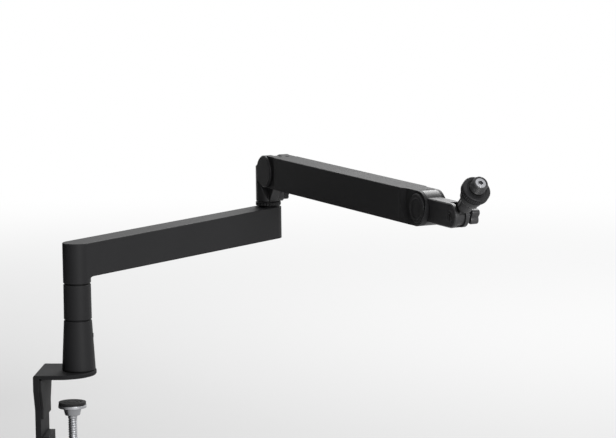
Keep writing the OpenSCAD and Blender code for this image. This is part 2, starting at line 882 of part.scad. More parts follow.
module head_spindle() {
    steel() in_head() {
        rod(spindle_foot, collar_top - 2, stud_r - fit_gap);
        rod(collar_top - 2, collar_top - 0.4, stud_r + 1.2);
    }
}

// Turned collar: its wide foot sits in the ring, and its nose has the head's thread
module thread_collar() {
    steel() in_head() difference() {
        union() {
            rod(ring_foot + 1, ring_foot + ring_h + seam, collar_foot_r - press_gap);
            rod(ring_foot + ring_h + seam, collar_top - 0.8, thread_r);
            tapered(collar_top - 0.8, collar_top, thread_r, thread_r - 0.8);
        }
        rod(ring_foot, collar_top, stud_r);
        rod(collar_top - 2, collar_top + 1, stud_r + 1.2 + fit_gap);
    }
}

module lock_ring() {
    grips = 24;
    black_plastic() in_head() difference() {
        union() {
            tapered(ring_foot, ring_foot + 1, ring_r - 1, ring_r);
            rod(ring_foot + 1, ring_foot + ring_h - 0.8, ring_r);
            tapered(ring_foot + ring_h - 0.8, ring_foot + ring_h, ring_r, ring_r - 0.8);
        }
        rod(ring_foot - 1, ring_foot + 1, stud_r + 0.5);
        rod(ring_foot + 1, ring_foot + ring_h + 1, collar_foot_r);
        // Finger grips round the rim
        for (i = [0 : grips - 1]) rotate([0, 0, i * 360 / grips])
            translate([ring_r + 0.7, 0, ring_foot + 2.2]) cylinder(h = ring_h - 4.4, r = 1.3, $fn = 24);
    }
}

clamp_frame();
top_pad();
flange_pad();
clamp_jaw();
jaw_bolts();
base_socket();
socket_screws();
socket_set_screw();
riser();
riser_set_screw();
riser_bush();
thrust_washer();
pressure_plate();
pressure_pad();
clamp_screw();
clamp_knob();
lower_arm_shell();
lower_magnet_bridges();
lower_magnets();
swivel_pin();
elbow_bush();
lower_arm_cover();
elbow_yoke();
elbow_pivot();
elbow_nut();
elbow_collar();
tilt_bush();
friction_discs();
swivel_screw();
swivel_knob();
upper_arm_root();
tilt_bolt();
tilt_nut();
tilt_caps();
tension_screws();
brake_shoe();
upper_arm_tube();
upper_magnet_bridges();
upper_magnets();
upper_arm_end();
end_discs();
wrist_axle();
upper_arm_cover();
wrist_link();
wrist_bush();
head_bolt();
head_washer();
head_knob();
head_bracket();
head_spindle();
thread_collar();
lock_ring();
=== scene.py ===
# %% [markdown]
# # A low profile boom arm
# The real arm is a clamp with a short column, two straight aluminium beams that are open channels
# underneath, and a small folding head that ends in a screw thread.
# Nearly all of it is finished in one fine matt black coat, so the picture is carried by how that
# coat answers the light on flat sides, on rounded columns and on small bevelled edges.
# The shapes come from the CAD model, and this script adds the light, the finishes and the
# turned and moulded details that are easier to write as surfaces.

# %% The frame from the CAD model
import json
import math

import bmesh
import bpy
import numpy as np
from mathutils import Matrix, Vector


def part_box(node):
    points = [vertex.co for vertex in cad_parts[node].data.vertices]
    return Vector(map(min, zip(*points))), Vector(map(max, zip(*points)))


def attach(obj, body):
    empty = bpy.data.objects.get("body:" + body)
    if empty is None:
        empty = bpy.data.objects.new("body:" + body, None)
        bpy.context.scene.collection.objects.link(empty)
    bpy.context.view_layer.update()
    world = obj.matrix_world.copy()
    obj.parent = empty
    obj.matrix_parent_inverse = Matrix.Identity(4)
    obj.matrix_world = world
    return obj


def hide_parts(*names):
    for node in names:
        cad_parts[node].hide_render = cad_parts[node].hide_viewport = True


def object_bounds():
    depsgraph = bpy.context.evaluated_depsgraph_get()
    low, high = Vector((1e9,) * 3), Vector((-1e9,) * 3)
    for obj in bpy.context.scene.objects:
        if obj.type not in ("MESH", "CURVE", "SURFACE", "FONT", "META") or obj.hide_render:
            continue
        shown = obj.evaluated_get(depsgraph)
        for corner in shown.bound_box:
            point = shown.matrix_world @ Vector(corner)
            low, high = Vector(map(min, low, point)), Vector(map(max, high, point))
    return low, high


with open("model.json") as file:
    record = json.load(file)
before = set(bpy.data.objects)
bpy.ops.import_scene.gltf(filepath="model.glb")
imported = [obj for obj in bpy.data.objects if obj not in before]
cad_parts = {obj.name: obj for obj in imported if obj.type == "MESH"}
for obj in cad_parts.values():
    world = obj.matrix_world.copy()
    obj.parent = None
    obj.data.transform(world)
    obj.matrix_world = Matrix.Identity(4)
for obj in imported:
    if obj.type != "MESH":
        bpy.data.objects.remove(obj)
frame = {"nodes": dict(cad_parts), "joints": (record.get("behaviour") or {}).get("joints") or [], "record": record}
cad_low, cad_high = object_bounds()
print("CAD box in millimetres:", np.round((np.array(cad_high) - np.array(cad_low)) * 1000, 1))

# %% [markdown]
# ## The camera
# A camera can be found from a photograph: the arm's long straight edges say which way it turns,
# and the round plate and discs say how far it tilts. Here the answer is written as three plain
# angles and a place, because these can be read and changed, while a bare matrix can't.
# The lens is long, about 177 mm, so the arm is drawn with little perspective.

# %% Camera
IMAGE_WIDTH = 616
FOCAL_PIXELS = 3024.0
SENSOR_MM = 36.0
camera_place = (0.4836, -3.1229, 0.5937)
heading_left = math.radians(4.368)
pitch_down = math.radians(7.794)
roll = math.radians(-0.713)


def camera_axes(heading, pitch, turn):
    """Right, up and backward axes of a camera: it looks along +Y, turned left by heading, tipped
    down by pitch and turned about its own line of sight by turn."""
    level = np.array([-math.sin(heading), math.cos(heading), 0.0])
    right = np.array([math.cos(heading), math.sin(heading), 0.0])
    forward = level * math.cos(pitch) - np.array([0.0, 0.0, math.sin(pitch)])
    up = np.cross(right, forward)
    turned_right = right * math.cos(turn) + up * math.sin(turn)
    turned_up = up * math.cos(turn) - right * math.sin(turn)
    return np.column_stack([turned_right, turned_up, -forward])


camera_data = bpy.data.cameras.new("camera")
camera_data.sensor_width = SENSOR_MM
camera_data.lens = FOCAL_PIXELS / IMAGE_WIDTH * SENSOR_MM
camera_data.clip_end = 100.0
camera = bpy.data.objects.new("camera", camera_data)
bpy.context.scene.collection.objects.link(camera)
world_from_camera = np.eye(4)
world_from_camera[:3, :3] = camera_axes(heading_left, pitch_down, roll)
world_from_camera[:3, 3] = camera_place
camera.matrix_world = Matrix(world_from_camera.tolist())
bpy.context.scene.camera = camera
print("Lens", round(camera_data.lens, 1), "mm, camera at", camera_place)

# %% [markdown]
# ## Two helpers
# Colours are picked as sRGB hex values, as in a paint chart, while Blender's sockets want linear
# light, so one function turns the first into the second. Another adds a shader node with its
# settings and its links in one call, which keeps each material short enough to read.


# %% Helpers for colours and shader nodes
def linear(hex_colour):
    """Linear RGBA from an sRGB hex colour, by the standard curve: a straight part near black
    and a power of 2.4 above it."""
    parts = [int(hex_colour[i:i + 2], 16) / 255.0 for i in (1, 3, 5)]
    light = [c / 12.92 if c <= 0.04045 else ((c + 0.055) / 1.055) ** 2.4 for c in parts]
    return (*light, 1.0)


def add(tree, kind, links=None, **settings):
    """Adds a node to a tree. Settings are attributes of the node, links are its inputs by name or
    number, each either a value or another node's output."""
    made = tree.nodes.new(kind)
    for key, value in settings.items():
        setattr(made, key, value)
    for key, value in (links or {}).items():
        if isinstance(value, bpy.types.NodeSocket):
            tree.links.new(value, made.inputs[key])
        else:
            made.inputs[key].default_value = value
    return made


print("Middle grey #808080 is", round(linear("#808080")[0], 3), "in linear light")

# %% [markdown]
# ## World
# The arm stands in a plain white studio. The world is white wherever it is looked at, directly or
# in a reflection, and much weaker as a light, so the arm's sides stay deep. A Light Path node tells
# the two apart, and the floor needs the same choice, so it is a helper.

# %% World
SEEN_STRENGTH, FILL_STRENGTH = 1.0, 0.1


def looked_at(tree):
    """A socket that is 1 where a ray comes from the camera, from a reflection or through glass, and
    0 where it only carries light: the largest of the three answers."""
    path = add(tree, "ShaderNodeLightPath")
    seen = path.outputs["Is Camera Ray"]
    for answer in ("Is Glossy Ray", "Is Transmission Ray"):
        larger = add(tree, "ShaderNodeMath", {0: seen, 1: path.outputs[answer]}, operation="MAXIMUM")
        seen = larger.outputs[0]
    return seen


world = bpy.data.worlds.new("plain_studio")
bpy.context.scene.world = world
bpy.context.scene.view_settings.view_transform = "Standard"
world.use_nodes = True
tree = world.node_tree
tree.nodes.clear()
fill = add(tree, "ShaderNodeBackground", {"Color": linear("#ffffff"), "Strength": FILL_STRENGTH})
white = add(tree, "ShaderNodeBackground", {"Color": linear("#ffffff"), "Strength": SEEN_STRENGTH})
choice = add(tree, "ShaderNodeMixShader", {0: looked_at(tree), 1: fill.outputs[0], 2: white.outputs[0]})
add(tree, "ShaderNodeOutputWorld", {"Surface": choice.outputs[0]})
print("World seen at", SEEN_STRENGTH, "and lighting at", FILL_STRENGTH)

# %% [markdown]
# ## Lamps
# Three soft rectangles light the arm. The wide one overhead, a little behind the arm, makes flat
# tops much lighter than the sides. The one on the right lights the sides that face it and gives
# the round ends their shine. The weak one beside the camera lifts what the other two leave black.

# %% Lamps
# The middle of the arm, which all lamps face
arm_middle = (0.2, 0.05, 0.14)
# Upward, but for a hair, so that a lamp straight overhead still has a side
NEARLY_UP = (0.0, 0.001, 1.0)


def soft_lamp(name, place, target, width, height, watts):
    """A rectangular lamp at place that faces target. Its -Z axis is the unit vector from place to
    target, and its X axis lies level."""
    data = bpy.data.lights.new(name, "AREA")
    data.shape = "RECTANGLE"
    data.size = width
    data.size_y = height
    data.energy = watts
    lamp = bpy.data.objects.new(name, data)
    bpy.context.scene.collection.objects.link(lamp)
    back = np.array(place) - np.array(target)
    distance = np.linalg.norm(back)
    back /= distance
    side = np.cross(NEARLY_UP, back)
    side /= np.linalg.norm(side)
    matrix = np.eye(4)
    matrix[:3, :3] = np.column_stack([side, np.cross(back, side), back])
    matrix[:3, 3] = place
    lamp.matrix_world = Matrix(matrix.tolist())
    print(name, width, "by", height, "m,", watts, "W at", round(distance, 2), "m")


soft_lamp("overhead_lamp", (0.8, 1.7, 1.8), arm_middle, width=1.8, height=1.6, watts=62.0)
soft_lamp("right_lamp", (1.6, -2.2, 0.9), arm_middle, width=1.0, height=1.0, watts=72.0)
soft_lamp("front_lamp", (0.9, -2.9, 0.9), arm_middle, width=0.8, height=0.8, watts=9.0)

# %% [markdown]
# ## Floor
# The floor is a plain pale sheet below the clamp, with room for the clamp's knob to wind down and
# for the head to be lowered past it. Near the arm it is lit as any paper is, so it keeps the soft
# shadow. Farther off, where a studio's sweep turns up into white, the sheet fades
# into an even white that only the eye and reflections see.

# %% Floor
FLOOR_DROP, FLOOR_HALF = 0.06, 15.0
FADE_NEAR, FADE_FAR = 0.5, 3.0
floor_z = float(cad_low[2]) - FLOOR_DROP


def empty_material(name):
    """A material whose node tree is empty, and that tree."""
    material = bpy.data.materials.new(name)
    material.use_nodes = True
    material.node_tree.nodes.clear()
    return material, material.node_tree


def flat_sheet(name, corners, material):
    """An object with one face through four corners."""
    mesh = bpy.data.meshes.new(name)
    mesh.from_pydata(corners, [], [(0, 1, 2, 3)])
    mesh.materials.append(material)
    sheet = bpy.data.objects.new(name, mesh)
    bpy.context.scene.collection.objects.link(sheet)
    return sheet


paper, tree = empty_material("pale_paper_backdrop")
place = add(tree, "ShaderNodeTexCoord")
away = add(tree, "ShaderNodeVectorMath", {0: place.outputs["Object"]}, operation="LENGTH")
fade = add(tree, "ShaderNodeMapRange", {0: away.outputs["Value"], 1: FADE_NEAR, 2: FADE_FAR},
           interpolation_type="SMOOTHSTEP")
share = add(tree, "ShaderNodeMath", {0: looked_at(tree), 1: fade.outputs[0]}, operation="MULTIPLY")
matt = add(tree, "ShaderNodeBsdfDiffuse", {"Color": linear("#dcdcdc")})
glow = add(tree, "ShaderNodeEmission", {"Color": linear("#ffffff"), "Strength": SEEN_STRENGTH})
both = add(tree, "ShaderNodeMixShader", {0: share.outputs[0], 1: matt.outputs[0], 2: glow.outputs[0]})
add(tree, "ShaderNodeOutputMaterial", {"Surface": both.outputs[0]})
floor = flat_sheet("floor", [
    (-FLOOR_HALF, -FLOOR_HALF, floor_z), (FLOOR_HALF, -FLOOR_HALF, floor_z),
    (FLOOR_HALF, FLOOR_HALF, floor_z), (-FLOOR_HALF, FLOOR_HALF, floor_z)], paper)
print("Floor at", round(floor_z * 1000, 1), "mm")

# %% [markdown]
# ## Dark card
# A black object on white needs one dark thing to reflect, or all its sides turn the same grey.
# Photographers stand a black card just outside the picture for this. Here it is a sheet to the
# left that the camera doesn't see, so the sides that face left stay deep. It casts no shadow, or
# the floor would show a dark band in views from the side.

# %% Dark card
CARD_X, CARD_NEAR_Y, CARD_FAR_Y, CARD_TOP = -0.8, -1.6, 1.15, 1.0
velvet, tree = empty_material("black_velvet_card")
matt = add(tree, "ShaderNodeBsdfDiffuse", {"Color": linear("#0a0a0a")})
add(tree, "ShaderNodeOutputMaterial", {"Surface": matt.outputs[0]})
card = flat_sheet("dark_card", [
    (CARD_X, CARD_NEAR_Y, floor_z), (CARD_X, CARD_FAR_Y, floor_z),
    (CARD_X, CARD_FAR_Y, CARD_TOP), (CARD_X, CARD_NEAR_Y, CARD_TOP)], velvet)
card.visible_camera = False
card.visible_shadow = False
print("Dark card", round(CARD_FAR_Y - CARD_NEAR_Y, 2), "by", round(CARD_TOP - floor_z, 2), "m")

# %% [markdown]
# ## Edges and gaps
# No real edge is a perfect corner, and a black object is drawn mostly by its thin lit edges. A
# Bevel node gives the shader a normal that turns smoothly over the edge without changing the
# mesh. Where that normal and the face's own differ there is an edge, so the same node also says
# where hands have rubbed the coat a little lighter and smoother, in patches that a noise picks.
# The narrow gaps between pieces are the other half of the drawing. Their colour is darkened where
# little of the sky is in sight: this is painted shade, added to the shade that the lamps cast.

# %% Edges and gaps
# The dot product of the rounded and the plain normal is 1 on a flat and falls towards an edge
ALIKE_ON_FLAT, ALIKE_ON_EDGE = 0.985, 0.9
NOISE_CLEAN, NOISE_WORN = 0.35, 0.65
SKY_IN_GAP, SKY_IN_THE_OPEN = 0.3, 0.85


def edge_normal_and_wear(tree, place, edge_mm, patch_mm=9.0):
    """The normal rounded over edge_mm, and a mask: one less the dot product of the rounded and the
    plain normal, stretched to run from 0 to 1, times a noise that is clipped to patches."""
    rounded = add(tree, "ShaderNodeBevel", {"Radius": edge_mm / 1000}, samples=8)
    plain = add(tree, "ShaderNodeNewGeometry")
    alike = add(tree, "ShaderNodeVectorMath", {0: rounded.outputs[0], 1: plain.outputs["Normal"]},
                operation="DOT_PRODUCT")
    edge = add(tree, "ShaderNodeMapRange", {0: alike.outputs["Value"], 1: ALIKE_ON_FLAT, 2: ALIKE_ON_EDGE})
    patches = add(tree, "ShaderNodeTexNoise", {
        "Vector": place.outputs["Object"], "Scale": 1000.0 / patch_mm, "Detail": 4.0})
    picked = add(tree, "ShaderNodeMapRange", {0: patches.outputs[0], 1: NOISE_CLEAN, 2: NOISE_WORN})
    worn = add(tree, "ShaderNodeMath", {0: edge.outputs[0], 1: picked.outputs[0]}, operation="MULTIPLY")
    return rounded, worn


def painted_crevice_shade(tree, colour, reach_mm=5.0, depth=0.9):
    """Painted shade: the colour darkened in narrow gaps, multiplied by one less depth times how much
    of the sky is hidden within reach_mm of the surface, stretched between a gap and the open."""
    open_sky = add(tree, "ShaderNodeAmbientOcclusion", {"Distance": reach_mm / 1000}, samples=8)
    shade = add(tree, "ShaderNodeMapRange", {
        0: open_sky.outputs["AO"], 1: SKY_IN_GAP, 2: SKY_IN_THE_OPEN, 3: 1.0 - depth, 4: 1.0})
    return add(tree, "ShaderNodeVectorMath", {0: colour, "Scale": shade.outputs[0]}, operation="SCALE")


print("Rubbed edges from", round(math.degrees(math.acos(ALIKE_ON_FLAT))), "degrees of rounding")

# %% [markdown]
# ## The finish maker
# No coat is quite even: its colour and its roughness drift slowly over some centimetres, and a
# fine grain breaks the shine. One function makes all finishes from these parts, so each finish is
# only a few values. A grain that is too fine for a picture of the whole arm is drawn coarser.

# %% Finish maker
ROUGHNESS_DRIFT, RUBBED_SMOOTHER = 0.04, 0.12


def finish(name, colour, roughness, metallic=0.0, specular=0.5, grain_mm=0.8, grain_depth_mm=0.01,
           cloud_mm=40.0, cloud_share=0.12, stretch=(1.0, 1.0, 1.0), edge_mm=0.6, worn_colour="#3c3c3e"):
    """A shader whose colour and roughness drift slowly over cloud_mm, as handled surfaces do, and
    whose bump is a noise of grain_mm on the rounded normal. Stretch squeezes the grain along an
    axis for brushed metal. Rubbed edges move towards the worn colour and are a little smoother."""
    material, tree = empty_material(name)
    place = add(tree, "ShaderNodeTexCoord")
    cloud = add(tree, "ShaderNodeTexNoise", {
        "Vector": place.outputs["Object"], "Scale": 1000.0 / cloud_mm, "Detail": 3.0})
    squeezed = add(tree, "ShaderNodeMapping", {"Vector": place.outputs["Object"], "Scale": stretch})
    grain = add(tree, "ShaderNodeTexNoise", {
        "Vector": squeezed.outputs[0], "Scale": 1000.0 / grain_mm, "Detail": 2.0})
    base = linear(colour)[:3]
    dark = tuple(c * (1.0 - cloud_share) for c in base) + (1.0,)
    light = tuple(min(1.0, c * (1.0 + cloud_share)) for c in base) + (1.0,)
    drifting = add(tree, "ShaderNodeMix", {0: cloud.outputs[0], 6: dark, 7: light}, data_type="RGBA")
    rounded, worn = edge_normal_and_wear(tree, place, edge_mm)
    tint = add(tree, "ShaderNodeMix", {
        0: worn.outputs[0], 6: drifting.outputs[2], 7: linear(worn_colour)}, data_type="RGBA")
    # Painted shade: the colour is darkened in narrow gaps
    shaded = painted_crevice_shade(tree, tint.outputs[2])
    rough = add(tree, "ShaderNodeMapRange", {
        0: cloud.outputs[0], 3: roughness - ROUGHNESS_DRIFT, 4: roughness + ROUGHNESS_DRIFT})
    rubbed = add(tree, "ShaderNodeMath", {
        0: worn.outputs[0], 1: -RUBBED_SMOOTHER, 2: rough.outputs[0]}, operation="MULTIPLY_ADD")
    relief = add(tree, "ShaderNodeBump", {
        "Height": grain.outputs[0], "Strength": 1.0, "Distance": grain_depth_mm / 1000.0,
        "Normal": rounded.outputs[0]})
    shader = add(tree, "ShaderNodeBsdfPrincipled", {
        "Base Color": shaded.outputs[0], "Roughness": rubbed.outputs[0], "Normal": relief.outputs[0],
        "Metallic": metallic, "Specular IOR Level": specular})
    add(tree, "ShaderNodeOutputMaterial", {"Surface": shader.outputs[0]})
    print(name, colour, "roughness", roughness)
    return material


# %% [markdown]
# ## Finishes
# Every finish starts from how it is made. The beams are extruded aluminium with a sprayed and
# baked matt coat, whose grain is about 0.3 mm: too fine for a whole-object picture, so it is
# drawn at 0.8 mm, and faintly. The elbow and the head are die castings under a smoother satin
# paint, which shows a soft shine on round ends. The clamp is steel with a slightly coarser powder
# coat. Knobs and caps are moulded ABS with a spark-eroded grain, the pads are solid rubber, and
# the screws and pins are plated steel or black oxide.

# %% Finishes
finishes = {
    # A fine dry coat: hardly any shine, and the sides stay one deep tone
    "black_aluminium": finish("baked_matt_coat_on_aluminium", "#222223", 0.5, specular=0.1),
    # Smoother paint over a casting's slight unevenness: a soft shine on the round ends
    "black_casting": finish("satin_paint_on_die_casting", "#2c2c2d", 0.38, specular=0.3, grain_mm=1.4,
                            grain_depth_mm=0.02, cloud_mm=25.0, edge_mm=0.8),
    # Powder flows less than paint, so it keeps a faint orange peel
    "black_coated_steel": finish("powder_coat_on_steel", "#1d1d1e", 0.6, specular=0.06, grain_mm=1.1,
                                 grain_depth_mm=0.02),
    # Spark-eroded moulds leave plastic even and slightly softer in shine than paint
    "black_plastic": finish("moulded_abs", "#1f1f20", 0.45, specular=0.16, grain_mm=0.7),
    # The same plastic in a lighter colour, which is painted light where the head's knob catches more light, and
    # with a smoother, shinier surface
    "plastic_painted_lighter": finish("moulded_abs_painted_lighter", "#2e2e2f", 0.36, specular=0.32,
                              grain_mm=0.7),
    # Acetal feels waxy and has a low, even shine
    "bearing_plastic": finish("black_acetal", "#1c1c1d", 0.4, specular=0.2, worn_colour="#2a2a2b"),
    # Rubber scatters light and takes no polish
    "dark_rubber": finish("solid_rubber", "#151516", 0.8, specular=0.3, grain_mm=1.0,
                          worn_colour="#262627"),
    # Zinc is bright, a little cloudy, and drawn along the pin
    "bright_steel": finish("zinc_plated_steel", "#a6a7aa", 0.36, metallic=1.0, grain_mm=0.6,
                           stretch=(1.0, 1.0, 12.0), worn_colour="#c4c5c7"),
    # Oiled oxide is a thin black skin: steel shows through on rubbed edges and crests
    "black_screw_steel": finish("black_oxide_steel", "#1a1a1b", 0.35, grain_mm=0.9,
                                worn_colour="#4a4a4c"),
}
slot_of_node = {part["node"]: part["material_slot"] for part in frame["record"]["subparts"]}
# The castings at both ends of the upper beam are sprayed with it, so no seam shows between them
finish_of_node = dict(slot_of_node, upper_arm_root="black_aluminium", upper_arm_end="black_aluminium")
for name, part in frame["nodes"].items():
    for spot in part.material_slots:
        spot.material = finishes[finish_of_node[name]]
print(len(finishes), "finishes on", len(slot_of_node), "CAD pieces")

# %% [markdown]
# ## Turned and moulded pieces
# A knob, a screw thread and a ring are all close to solids of revolution: a profile is carried
# round an axis, and something repeats with the angle, such as a knob's finger lobes or the ridge
# of a thread. Each is a function of two parameters on a grid, the angle and the way along the
# profile, so numpy works out all points at once.

# %% Helpers that turn a grid of points into a piece
# Pieces made below have the finish of their slot, but for the head's knob, whose lighter plastic is painted light
finish_of_piece = {"head_knob_moulded": "plastic_painted_lighter"}
COLUMNS = 72


def full_turn(count=COLUMNS):
    """Angles round a full turn in equal steps. The last is left out, because it is the first."""
    return np.linspace(0, 2 * np.pi, count, endpoint=False)


def carried_round(reach, height, angle):
    """A grid of points round the Z axis. Each row has its own height, each column its angle, and
    reach is the distance from the axis."""
    across = reach * np.cos(angle)
    return np.stack([across, reach * np.sin(angle), np.broadcast_to(height, across.shape)], axis=-1)


def frame_matrix(origin, forward, upward):
    """Columns are the piece's own X, Y and Z axes in the row frame, then its origin. Z is upward,
    and X is what is left of forward at right angles to it."""
    z = np.array(upward, float) / np.linalg.norm(upward)
    x = np.array(forward, float) - z * np.dot(forward, z)
    x /= np.linalg.norm(x)
    return np.column_stack([x, np.cross(z, x), z, np.array(origin, float)])


def soften(mesh, sharp_degrees=35.0):
    """Merges points that fall together, and shades smooth but for edges sharper than an angle."""
    sharp = math.radians(sharp_degrees)
    work = bmesh.new()
    work.from_mesh(mesh)
    bmesh.ops.remove_doubles(work, verts=work.verts, dist=1e-6)
    bmesh.ops.recalc_face_normals(work, faces=work.faces)
    for edge in work.edges:
        edge.smooth = len(edge.link_faces) == 2 and edge.calc_face_angle(0.0) < sharp
    for face in work.faces:
        face.smooth = True
    work.to_mesh(mesh)
    work.free()
    mesh.update()


def grid_piece(name, parts, body, slot, replaced, closed_rows=False):
    """Makes one mesh from parts, each an array of points of shape (rows, columns, 3), closed round
    the columns, and the place that it is in. Row and column neighbours make one quad each. Rows
    whose points fall together are merged into poles, and closed_rows joins last row to first."""
    places, quads, used = [], [], 0
    for points, place in parts:
        rows, columns, _ = points.shape
        places.append(points.reshape(-1, 3) @ place[:, :3].T + place[:, 3])
        steps = rows if closed_rows else rows - 1
        row, column = np.meshgrid(np.arange(steps), np.arange(columns), indexing="ij")
        after, beside = (row + 1) % rows, (column + 1) % columns
        corners = [row * columns + column, row * columns + beside,
                   after * columns + beside, after * columns + column]
        quads.append(used + np.stack(corners, axis=-1).reshape(-1, 4))
        used += rows * columns
    world_points, quads = np.vstack(places), np.vstack(quads)
    mesh = bpy.data.meshes.new(name)
    mesh.vertices.add(len(world_points))
    mesh.vertices.foreach_set("co", world_points.astype(np.float32).ravel())
    mesh.loops.add(quads.size)
    mesh.loops.foreach_set("vertex_index", quads.astype(np.int32).ravel())
    mesh.polygons.add(len(quads))
    mesh.polygons.foreach_set("loop_start", np.arange(0, quads.size, 4, dtype=np.int32))
    mesh.update(calc_edges=True)
    mesh.validate()
    soften(mesh)
    piece = bpy.data.objects.new(name, mesh)
    bpy.context.scene.collection.objects.link(piece)
    mesh.materials.append(finishes[finish_of_piece.get(name, slot)])
    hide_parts(*replaced)
    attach(piece, body)
    low, high = world_points.min(axis=0), world_points.max(axis=0)
    print(name, len(mesh.polygons), "faces,", np.round((high - low) * 1000, 1), "mm")


# %% [markdown]
# ## Knobs
# The three knobs are moulded with finger lobes. Their profile has rounded rims, because a mould
# leaves no sharp corner that a finger touches, and a shallow dish on top. The lobes fade out
# towards the middle, so the dish stays round.

# %% Knobs
joint_named = {joint["name"]: joint for joint in frame["joints"]}
KNOB_RIM, KNOB_DISH = 0.0012, 0.0007
# The dips between lobes take this share of the radius, and a power above 1 keeps the lobes wide
DIP_SHARE, DIP_POWER = 0.27, 1.3
COLUMNS_PER_LOBE, FOOT_ROWS, RIM_ROWS, DISH_ROWS = 18, 5, 7, 9


def knob_profile(radius, height, rim, dish):
    """Rows of (distance from axis, height, lobe weight): across the foot, round the lower rim, up
    the side, round the upper rim as quarter circles, and in over a dish with a parabola's depth."""
    inner = radius - rim
    out = np.linspace(0, 1, FOOT_ROWS)
    foot = np.column_stack([inner * out, np.zeros_like(out), out ** 2])
    turn = np.linspace(0, np.pi / 2, RIM_ROWS)
    full = np.ones_like(turn)
    low_rim = np.column_stack([inner + rim * np.sin(turn), rim - rim * np.cos(turn), full])
    high_rim = np.column_stack([inner + rim * np.cos(turn), height - rim + rim * np.sin(turn), full])
    share = np.linspace(1, 0, DISH_ROWS + 1)[1:]
    top = np.column_stack([inner * share, height - dish * (1 - share ** 2), share ** 2])
    return np.vstack([foot[:-1], low_rim, high_rim, top])


def knob(name, joint_name, body, radius_mm, height_mm, lobes, replaced, direction=1.0):
    """A profile carried round the joint's axis, whose distance from the axis dips between the
    lobes: it is multiplied by one minus depth times a raised cosine of the angle."""
    spot = joint_named[joint_name]
    axis = np.array(spot["axis"])
    upright = abs(axis[2]) > 0.9
    place = frame_matrix(spot["pos_m"], (1, 0, 0) if upright else (0, 0, 1), axis * direction)
    profile = knob_profile(radius_mm / 1000, height_mm / 1000, KNOB_RIM, KNOB_DISH)
    angle = full_turn(lobes * COLUMNS_PER_LOBE)
    dip = DIP_SHARE * (0.5 - 0.5 * np.cos(lobes * angle)) ** DIP_POWER
    reach = profile[:, :1] * (1 - profile[:, 2:3] * dip[None, :])
    points = carried_round(reach, profile[:, 1:2], angle)
    grid_piece(name, [(points, place)], body, "black_plastic", [replaced])


knob("clamp_knob_moulded", "clamp_knob_turn", "clamp_spindle", radius_mm=19.0, height_mm=17.0, lobes=7,
     replaced="clamp_knob", direction=-1.0)
knob("swivel_knob_moulded", "swivel_lock_turn", "swivel_lock", radius_mm=6.2, height_mm=6.2, lobes=5,
     replaced="swivel_knob")
knob("head_knob_moulded", "wrist_lock_turn", "wrist_lock", radius_mm=11.0, height_mm=9.0, lobes=5,
     replaced="head_knob")

# %% [markdown]
# ## Screw threads
# A thread is a cylinder whose radius depends on height and angle together: going once round is
# the same as going up by one pitch. A triangle wave of height over pitch less angle over a full
# turn gives the ridges, and clipping it leaves the narrow flats that a real thread has. The rest
# of a turned piece is its half section carried round, and the thread is cut only into the
# widest part of it.

# %% Threads
# Shares of half a pitch: the flat on the crest, and the slope down to the flat at the root
CREST_SHARE, FLANK_SHARE = 0.12, 0.72


def ridge(height, angle, pitch):
    """How far below the crest the thread's surface is, from 0 to 1: a triangle wave of the turns
    that height and angle make together, clipped at both ends."""
    turns = height / pitch - angle / (2 * np.pi)
    wave = np.abs(2 * (turns - np.floor(turns)) - 1)
    return np.clip((wave - CREST_SHARE) / FLANK_SHARE, 0, 1)


def turned_rows(corners, step):
    """Points along a half section given by its corners (height, radius), one every step or closer
    where the section runs along the axis, and the corners alone elsewhere."""
    rows = [np.array([corners[0]])]
    for first, last in zip(corners[:-1], corners[1:]):
        count = max(1, math.ceil(abs(last[0] - first[0]) / step)) if first[1] == last[1] else 1
        rows.append(np.linspace(first, last, count + 1)[1:])
    return np.vstack(rows)


def threaded_piece(name, place, body, slot, corners, thread, depth, pitch, replaced, bored=False):
    """A half section carried round, less depth times the ridge wherever the section is at its
    widest and between the two heights of thread. The depth fades over half a pitch at both ends."""
    rows = turned_rows(corners, pitch / 10)
    height, radius = rows[:, :1], rows[:, 1:]
    angle = full_turn()
    inside = np.minimum(height - thread[0], thread[1] - height) / (pitch / 2)
    fade = np.clip(inside, 0, 1) * np.isclose(radius, radius.max())
    reach = radius - depth * fade * ridge(height, angle[None, :], pitch)
    points = carried_round(reach, height, angle)
    grid_piece(name, [(points, place)], body, slot, replaced, closed_rows=bored)


clamp_joint = joint_named["clamp_knob_turn"]
clamp_place = frame_matrix((clamp_joint["pos_m"][0], clamp_joint["pos_m"][1], 0.0), (1, 0, 0), (0, 0, 1))
screw_low, screw_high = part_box("clamp_screw")
low_z, high_z = screw_low[2], screw_high[2]
SCREW_R, SCREW_BEVEL = 0.00495, 0.0006
# Plain lengths below and above the clamp screw's thread, then its depth and its pitch
PLAIN_BELOW, PLAIN_ABOVE, SCREW_THREAD_DEPTH, SCREW_PITCH = 0.018, 0.010, 0.0008, 0.0025
threaded_piece(
    "clamp_spindle_threaded", clamp_place, "clamp_spindle", "bright_steel",
    [(low_z, 0.0), (low_z, SCREW_R - SCREW_BEVEL), (low_z + SCREW_BEVEL, SCREW_R),
     (high_z - SCREW_BEVEL, SCREW_R), (high_z, SCREW_R - SCREW_BEVEL), (high_z, 0.0)],
    (low_z + PLAIN_BELOW, high_z - PLAIN_ABOVE), SCREW_THREAD_DEPTH, SCREW_PITCH, ["clamp_screw"])

# %% [markdown]
# The collar at the end of the head turns with its ring. Its foot is hidden in the ring, its nose
# has the standard 27 threads to the inch, and a counterbore takes the spindle's head.

# %% Threaded collar
ring_joint = joint_named["thread_ring_turn"]
collar_place = frame_matrix(ring_joint["pos_m"], (0, 0, 1), ring_joint["axis"])
